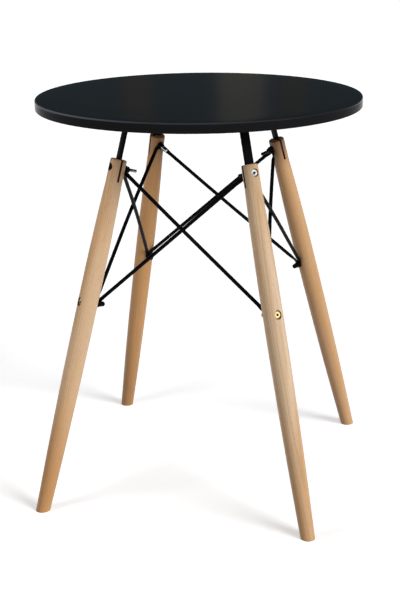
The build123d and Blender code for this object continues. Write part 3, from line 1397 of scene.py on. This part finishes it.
@dataclass
class Fasteners:
    """Bolts, nuts, domed nuts and screws: each made once, then set round the table by a node tree."""

    stance: LegStance
    straps: Straps
    sides: int = 72
    head_radius: float = 0.0065
    head_edge: float = 0.0006
    head_steps: int = 5
    seat_edge: float = 0.0003
    key_width: float = 0.004
    key_depth: float = 0.002
    key_point: float = 0.0006
    key_flare: float = 0.0005
    key_lip: Pair = (0.0004, 0.0001)
    key_mouth: float = 0.0031
    recess_rings: int = 3
    shank_radius: float = 0.003
    nut_width: float = 0.010
    nut_height: float = 0.005
    nut_bore_edge: Pair = (0.0002, 0.0004)
    chamfer_share: float = 0.48
    chamfer_slope: float = 1.7
    chamfer_step: float = 0.0001
    chamfer_levels: int = 7
    thread_pitch: float = 0.001
    thread_height: float = 0.00045
    thread_length: float = 0.016
    thread_in_nut: float = 0.001
    thread_start: float = 0.0004
    thread_rings: int = 8
    lower_thread: float = 0.004
    end_chamfer: float = 0.001
    end_radius: float = 0.0004
    cap_height: float = 0.012
    cap_radius: float = 0.0048
    cap_wall: float = 0.003
    cap_neck: float = 0.0003
    cap_neck_rise: Pair = (0.0001, 0.0005)
    dome_steps: int = 12
    dome_quarter: float = 12.2
    screw_head_radius: float = 0.004
    screw_head_height: float = 0.0024
    screw_crown: float = 0.0026
    screw_crown_rise: float = 0.0018
    screw_crown_steps: int = 6
    screw_shank: float = 0.002
    screw_length: float = 0.017
    screw_tip: Pair = (0.0003, 0.004)
    cross_tip: Pair = (0.0002, 0.0014)
    cross_levels: tuple[Point, ...] = (
        (0.0014, 0.0004, 0.0013),
        (0.0021, 0.00055, 0.0001),
        (0.0023, 0.0007, 0.0),
    )
    screw_spread: Pair = (0.017, 0.057)
    sharp_degrees: float = 32.0

    def hexagon(self, width: float, most: float) -> Outline:
        """Outline rule of a hexagon, held inside a circle.

        Args:
            width: Distance across its flats.
            most: Radius of the circle.

        Returns:
            Radius for each angle.
        """

        def reach(angle: float) -> float:
            """Radius at an angle."""
            beside = (angle + math.pi / 6) % (math.pi / 3) - math.pi / 6
            return min(width / 2 / math.cos(beside), most)

        return reach

    def cross(self, reach: float, half_width: float) -> Outline:
        """Outline rule of a cross recess.

        Args:
            reach: Length of its arms.
            half_width: Half of their width.

        Returns:
            Radius for each angle.
        """

        def radius(angle: float) -> float:
            """Radius at an angle."""
            beside = (angle + math.pi / 4) % (math.pi / 2) - math.pi / 4
            return min(reach / math.cos(beside), half_width / max(abs(math.sin(beside)), 1e-6))

        return radius

    def thread(self, rise: float) -> Outline:
        """Outline rule of a bolt's thread, whose end is chamfered.

        Args:
            rise: Distance of the ring from the bolt's end.

        Returns:
            Radius for each angle.
        """

        def radius(angle: float) -> float:
            """Radius at an angle."""
            valley = abs(2 * ((rise / self.thread_pitch - angle / math.tau) % 1.0) - 1)
            return self.shank_radius + min(-self.thread_height * valley, rise - self.end_chamfer)

        return radius

    def shade_recess(self, skin: Skin) -> None:
        """Marks painted shade on the first rings of a skin, which line the recess for the driver.

        Args:
            skin: The skin of a bolt or a screw.
        """
        layer = skin.verts.layers.float.new(METAL_SHADE)
        for index, vertex in enumerate(skin.verts):
            vertex[layer] = float(index < self.recess_rings * self.sides)

    def stack(self, levels: Sequence[tuple[float | Outline, float]]) -> list[Ring]:
        """Rings round Z from pairs of radius and height."""
        return [Form.circle(radius, height, self.sides) for radius, height in levels]

    def bolt(self, depth: float, inner_reach: float, threaded: float) -> Skin:
        """A socket bolt across the leg, with its head outside.

        Args:
            depth: Its depth along the leg.
            inner_reach: How far it reaches inwards from the leg's axis.
            threaded: Length of the thread that shows at its inner end.

        Returns:
            The bolt, in the frame of the leg.
        """
        seat = self.stance.head_seat(depth)
        height, edge = self.stance.head_height, self.head_edge
        socket = self.hexagon(self.key_width, 1.0)
        flare = self.hexagon(self.key_width + self.key_flare, 1.0)
        bottom = height - self.key_depth
        lip_start, lip_end = (height - depth for depth in self.key_lip)
        levels = [(self.key_point, bottom - self.key_point), (socket, bottom), (socket, lip_start)]
        levels += [(flare, lip_end), (self.key_mouth, height)]
        for sine, cosine in quarter(self.head_steps):
            levels.append((self.head_radius - edge + edge * sine, height - edge + edge * cosine))
        levels += [(self.head_radius, self.seat_edge), (self.head_radius - self.seat_edge, 0)]
        end = -seat - inner_reach
        levels += [(self.shank_radius, 0), (self.shank_radius, end + threaded + self.thread_start)]
        steps = round(threaded / self.thread_pitch * self.thread_rings)
        rings = self.stack(levels)
        for step in range(steps + 1):
            rise = threaded * (1 - step / steps)
            rings.append(Form.circle(self.thread(rise), end + rise, self.sides))
        rings.append(Form.circle(self.end_radius, end, self.sides))
        skin = Form.loft(rings)
        self.shade_recess(skin)
        return Form.placed(skin, self.stance.across(depth, seat, True))

    def nut_levels(self) -> list[tuple[Outline, float]]:
        """Levels of a nut's hexagon, whose corners are turned off at both ends.

        Returns:
            Pairs of outline and height, close together at the ends.
        """
        near = [self.chamfer_step * level for level in range(self.chamfer_levels)]
        levels = []
        for height in near + [self.nut_height - height for height in reversed(near)]:
            from_end = min(height, self.nut_height - height)
            most = self.nut_width * self.chamfer_share + from_end * self.chamfer_slope
            levels.append((self.hexagon(self.nut_width, most), height))
        return levels

    def nut(self) -> Skin:
        """The open nut of an upper bolt, in the frame of the leg.

        Returns:
            Its skin.
        """
        bore = self.shank_radius - self.thread_height
        mouth = self.shank_radius + self.nut_bore_edge[0]
        deep = self.nut_bore_edge[1]
        levels = [(bore, deep), (mouth, 0)]
        levels += self.nut_levels()
        levels += [(mouth, self.nut_height), (bore, self.nut_height - deep)]
        return Form.placed(Form.loft(self.stack(levels), True), self.stance.nut_place(self.stance.upper_bolt))

    def cap_nut(self) -> Skin:
        """The domed nut of a lower bolt, in the frame of the leg.

        Returns:
            Its skin.
        """
        levels = [(self.shank_radius, 0)]
        levels += self.nut_levels()
        levels += [(self.cap_radius - self.cap_neck, self.nut_height + rise) for rise in self.cap_neck_rise]
        spring = self.cap_height - self.cap_radius
        for step in range(self.dome_steps + 1):
            angle = math.pi / 2 * step / self.dome_quarter
            levels.append((self.cap_radius * math.cos(angle), spring + self.cap_radius * math.sin(angle)))
        return Form.placed(Form.loft(self.stack(levels)), self.stance.nut_place(self.stance.lower_bolt))

    def screws(self) -> list[Skin]:
        """The pan-head screws of one strap, for the strap along X.

        Returns:
            Their skins.
        """
        bearing = self.straps.flange_height - self.straps.thickness / 2
        corner = self.stance.foot_circle - self.straps.flange_height * math.tan(self.stance.splay)
        low = -self.screw_head_height
        levels = [(self.cross_tip[0], low + self.cross_tip[1])]
        for reach, half_width, depth in self.cross_levels:
            levels.append((self.cross(reach, half_width), low + depth))
        for sine, cosine in quarter(self.screw_crown_steps):
            reach = self.screw_crown + (self.screw_head_radius - self.screw_crown) * sine
            levels.append((reach, low + self.screw_crown_rise * (1 - cosine)))
        tip_radius, tip_length = self.screw_tip
        levels += [(self.screw_head_radius, 0), (self.screw_shank, 0)]
        levels += [(self.screw_shank, self.screw_length - tip_length), (tip_radius, self.screw_length)]
        made = []
        for spread in self.screw_spread:
            skin = Form.loft(self.stack(levels))
            self.shade_recess(skin)
            made.append(Form.placed(skin, Matrix.Translation((corner - spread, 0, bearing))))
        return made

    def shaded_runs(self) -> list[tuple[Corner, float, float]]:
        """Upper bolts' ends that get painted shade: the corner, and the run outwards from the leg's axis.

        Returns:
            Corners, each with the start and the end of its run.
        """
        inner = self.stance.eye_seat(self.stance.upper_bolt, 2) + self.nut_height
        outer = self.stance.head_seat(self.stance.upper_bolt)
        threads = [(corner, -2 * inner, -inner) for corner in (Corner.FRONT_RIGHT, Corner.BACK_RIGHT)]
        return threads + [(Corner.FRONT_LEFT, outer, 2 * outer)]

    def shade_bolt_ends(self, bolts: Piece) -> None:
        """Marks painted shade on the ends of the upper bolts that sit in shade.

        Args:
            bolts: The bolts, set round the table.
        """
        values = bolts.data.attributes[METAL_SHADE].data
        for corner, low, high in self.shaded_runs():
            to_leg = (corner.turn() @ self.stance.frame()).inverted()
            for vertex in bolts.data.vertices:
                place = to_leg @ vertex.co
                if low < place.x < high and abs(place.y) < self.nut_width:
                    values[vertex.index].value = 1.0

    def ring_tree(self) -> NodeTree:
        """The tree that repeats a corner's fasteners round the table.

        Returns:
            The tree.
        """
        tree = NodeTree("round_the_table")
        count, first = tree.take("Count", "Int"), tree.take("First Angle", "Float")
        points = tree.node("GeometryNodeMeshLine", {"Count": count, "Offset": (0, 0, 0)}).outputs["Mesh"]
        order = tree.node("GeometryNodeInputIndex").outputs[0]
        step = tree.sum("DIVIDE", math.tau, count)
        angle = tree.sum("ADD", first, tree.sum("MULTIPLY", order, step))
        turn = tree.node("ShaderNodeCombineXYZ", {"Z": angle}).outputs[0]
        inputs = {"Points": points, "Instance": tree.source.outputs["Geometry"], "Rotation": turn}
        copies = tree.node("GeometryNodeInstanceOnPoints", inputs).outputs["Instances"]
        tree.close(copies)
        return tree

    def build(self, workshop: Workshop) -> None:
        """Makes each kind of fastener, sets it round the table and hands it over.

        Args:
            workshop: Where finished pieces are handed over.
        """
        upper, lower = self.stance.upper_bolt, self.stance.lower_bolt
        upper_reach = self.stance.eye_seat(upper, 2) + self.nut_height + self.thread_length
        lower_reach = self.stance.eye_seat(lower, 2) + self.cap_height - self.cap_wall
        upper_bolt = self.bolt(upper, upper_reach, self.thread_length + self.thread_in_nut)
        lower_bolt = self.bolt(lower, lower_reach, self.lower_thread)
        frame_of_leg = self.stance.frame()
        kinds = (
            ("upper_bolts", Slot.ZINC, [upper_bolt], frame_of_leg),
            ("upper_nuts", Slot.STEEL, [self.nut()], frame_of_leg),
            ("lower_bolts", Slot.BRASS, [lower_bolt], frame_of_leg),
            ("lower_cap_nuts", Slot.STEEL, [self.cap_nut()], frame_of_leg),
            ("strap_screws", Slot.ZINC, self.screws(), Matrix.Identity(4)),
        )
        tree = self.ring_tree()
        corners = {"Count": len(Corner), "First Angle": math.radians(Corner.BACK_RIGHT.value)}
        for node, slot, skins, place in kinds:
            ring = Form.object(f"set_of_{node}", Form.mesh(node, skins, place))
            tree.apply(ring, {**corners, "Material": workshop.material(slot)})
            # Painted shade on the upper bolts' ends that sit in shade.
            if node == "upper_bolts":
                self.shade_bolt_ends(ring)
            Form.shade(ring, self.sharp_degrees)
            workshop.hand_over(ring, slot, node)


class LampKind(Enum):
    """A far lamp that lights everything alike, or a near soft box."""

    FAR = "SUN"
    BOX = "AREA"


@dataclass(frozen=True)
class SoftLamp:
    """A soft lamp that looks at the table."""

    name: str
    kind: LampKind
    place: Point
    width: float
    power: float
    height: float = 1.0
    colour: Colour = (1.0, 1.0, 1.0)
    target: Point = (0.0, 0.0, 0.45)

    def build(self) -> None:
        """Hangs the lamp, which nothing mirrors; a far lamp's width is its angle across, in degrees."""
        data = bpy.data.lights.new(self.name, self.kind.value)
        if self.kind is LampKind.FAR:
            data.angle = math.radians(self.width)
        else:
            data.shape = "RECTANGLE"
            data.size, data.size_y = self.width, self.height
        data.energy = self.power
        data.color = self.colour
        lamp = bpy.data.objects.new(self.name, data)
        lamp.location = self.place
        lamp.visible_camera = False
        lamp.visible_glossy = False
        aim = Vector(self.target) - Vector(self.place)
        lamp.rotation_euler = aim.to_track_quat("-Z", "Y").to_euler()
        bpy.context.scene.collection.objects.link(lamp)


@dataclass(frozen=True)
class FarStrip:
    """A tall strip of light far from the table, in degrees from +Y towards +X."""

    azimuth: float
    half_width: float
    soft_edge: float
    colour: Colour

    def factor(self, graph: Graph, azimuth: Socket) -> Socket:
        """A factor that is one in the strip.

        Args:
            graph: Tree of the world.
            azimuth: Azimuth of a ray, in radians.

        Returns:
            The factor.
        """
        beside = graph.sum("ABSOLUTE", graph.sum("SUBTRACT", azimuth, math.radians(self.azimuth)))
        edges = (math.radians(self.half_width + self.soft_edge), math.radians(self.half_width))
        return graph.span(beside, edges, (0, 1))


@dataclass
class Studio:
    """The pale floor, the soft light and the camera."""

    azimuth: float = math.radians(12.583)
    elevation: float = math.radians(18.650)
    roll: float = math.radians(-0.343)
    distance: float = 2.27382
    target_height: float = 0.35023
    target_side: float = 0.09055
    lens: float = 70.018
    sensor: float = 36.0
    shift: float = -0.0833
    far_clip: float = 200.0
    floor_half: float = 40.0
    floor_colour: Colour = (0.936, 0.940, 0.952)
    floor_bounce: Colour = (0.46, 0.44, 0.41)
    floor_lift: float = 0.545
    pool_centre: Point = (-0.25, -0.69, 0.0)
    pool_reach: float = 0.77
    pool_depth: float = 0.274
    dome_low: Colour = (0.040, 0.053, 0.063)
    dome_high: Colour = (0.16, 0.16, 0.16)
    dome_rise: Pair = (0.25, 0.65)

    def lamps(self) -> list[SoftLamp]:
        """The lamps: a far one at the right, a weak far one behind on the left, and a soft box on each side.

        Returns:
            The lamps.
        """
        return [
            SoftLamp("far_lamp", LampKind.FAR, (3.1, -1.30, 2.05), 28.0, 2.70),
            SoftLamp("back_lamp", LampKind.FAR, (-2.6, 1.50, 1.60), 60.0, 0.28, 1.0, (0.92, 0.95, 1.0)),
            SoftLamp("right_box", LampKind.BOX, (0.90, -0.75, 0.95), 0.4, 1.3, 0.5, (1.0, 0.90, 0.78)),
            SoftLamp("left_box", LampKind.BOX, (-0.68, -0.62, 0.92), 0.4, 4.2, 0.5, (1.0, 0.95, 0.90)),
        ]

    def strips(self) -> list[FarStrip]:
        """The strips of light: a wide one at the right, and a dim one behind with a fainter one on each side.

        Returns:
            The strips.
        """
        return [
            FarStrip(104.0, 8.0, 9.0, (2.3, 2.3, 2.3)),
            FarStrip(-12.95, 0.75, 0.75, (0.105, 0.105, 0.095)),
            FarStrip(-18.00, 0.35, 0.75, (0.062, 0.062, 0.057)),
            FarStrip(-10.35, 0.40, 0.50, (0.055, 0.057, 0.055)),
        ]

    def camera(self) -> None:
        """Stands the camera where the photograph was taken from."""
        sine, cosine = math.sin(self.azimuth), math.cos(self.azimuth)
        level = math.cos(self.elevation)
        back = Vector((sine * level, -cosine * level, math.sin(self.elevation)))
        right = Vector((cosine, sine, 0))
        up = back.cross(right)
        tilted_right = right * math.cos(self.roll) + up * math.sin(self.roll)
        tilted_up = up * math.cos(self.roll) - right * math.sin(self.roll)
        place = Vector((0, 0, self.target_height)) + right * self.target_side + back * self.distance
        data = bpy.data.cameras.new("camera")
        data.lens = self.lens
        data.sensor_width = self.sensor
        data.shift_x = self.shift
        data.clip_end = self.far_clip
        made = bpy.data.objects.new("camera", data)
        axes = Matrix((tilted_right, tilted_up, back)).transposed().to_4x4()
        made.matrix_world = Matrix.Translation(place) @ axes
        bpy.context.scene.collection.objects.link(made)
        bpy.context.scene.camera = made

    def seen_directly(self, graph: Graph) -> Socket:
        """A factor that is one for camera, mirror and glass rays, which show the floor as it looks.

        Args:
            graph: Tree of the floor's material.

        Returns:
            The factor.
        """
        path = graph.node("ShaderNodeLightPath").outputs
        bounced = graph.sum("MAXIMUM", path["Is Glossy Ray"], path["Is Transmission Ray"])
        return graph.sum("MAXIMUM", path["Is Camera Ray"], bounced)

    def lift(self, graph: Graph) -> Socket:
        """How far the floor is lifted to white: less in the soft boxes' pool of light, to keep the shadows.

        Args:
            graph: Tree of the floor's material.

        Returns:
            The strength.
        """
        place = graph.node("ShaderNodeTexCoord").outputs["Object"]
        ends = {0: place, 1: self.pool_centre}
        away = graph.node("ShaderNodeVectorMath", ends, operation="DISTANCE").outputs["Value"]
        spread = graph.sum("POWER", graph.sum("DIVIDE", away, self.pool_reach), 2.0)
        pool = graph.sum("DIVIDE", self.pool_depth, graph.sum("ADD", spread, 1.0))
        return graph.sum("SUBTRACT", self.floor_lift, pool)

    def floor(self) -> None:
        """Lays the floor, which looks white, keeps the table's shadow and throws little light back."""
        skin = bmesh.new()
        bmesh.ops.create_grid(skin, x_segments=1, y_segments=1, size=self.floor_half)
        floor = Form.object("floor", Form.mesh("floor", [skin], Matrix.Identity(4)))
        graph = MaterialGraph("pale_floor")
        seen = self.seen_directly(graph)
        graph.feed("Base Color", graph.blend(seen, self.floor_bounce, self.floor_colour))
        graph.set("Roughness", 1.0)
        graph.set("Specular IOR Level", 0.0)
        graph.set("Emission Color", (1.0, 1.0, 1.0, 1.0))
        graph.feed("Emission Strength", graph.sum("MULTIPLY", seen, self.lift(graph)))
        floor.data.materials.append(graph.material)

    def world(self) -> None:
        """Surrounds the table with a dim dome, brighter overhead, and white where the camera sees it."""
        world = bpy.data.worlds.new("studio")
        bpy.context.scene.world = world
        world.use_nodes = True
        graph = Graph(world.node_tree)
        graph.tree.nodes.clear()
        direction = graph.node("ShaderNodeTexCoord").outputs["Generated"]
        parts = graph.node("ShaderNodeSeparateXYZ", {0: direction}).outputs
        azimuth = graph.sum("ARCTAN2", parts["X"], parts["Y"])
        shade = self.dome_low
        for strip in self.strips():
            shade = graph.blend(strip.factor(graph, azimuth), shade, strip.colour)
        shade = graph.blend(graph.span(parts["Z"], self.dome_rise, (0, 1)), shade, self.dome_high)
        dome = graph.node("ShaderNodeBackground", {"Color": shade}).outputs[0]
        white = graph.node("ShaderNodeBackground", {"Color": (1.0, 1.0, 1.0, 1.0)}).outputs[0]
        seen = graph.node("ShaderNodeLightPath").outputs["Is Camera Ray"]
        either = graph.node("ShaderNodeMixShader", {0: seen, 1: dome, 2: white}).outputs[0]
        graph.node("ShaderNodeOutputWorld", {"Surface": either})

    def build(self) -> None:
        """Sets up the whole studio."""
        bpy.context.scene.view_settings.view_transform = "Standard"
        self.camera()
        self.floor()
        self.world()
        for lamp in self.lamps():
            lamp.build()


def main() -> None:
    """Builds the studio and every piece of the table."""
    logging.basicConfig(level=logging.INFO, format="%(name)s: %(message)s")
    Studio().build()
    workshop = Workshop(Finishes())
    stance = LegStance()
    straps = Straps(stance)
    TableTop().build(workshop)
    TurnedLegs(stance).build(workshop)
    straps.build(workshop)
    BraceRods(stance).build(workshop)
    Fasteners(stance, straps).build(workshop)


if __name__ == "__main__":
    main()
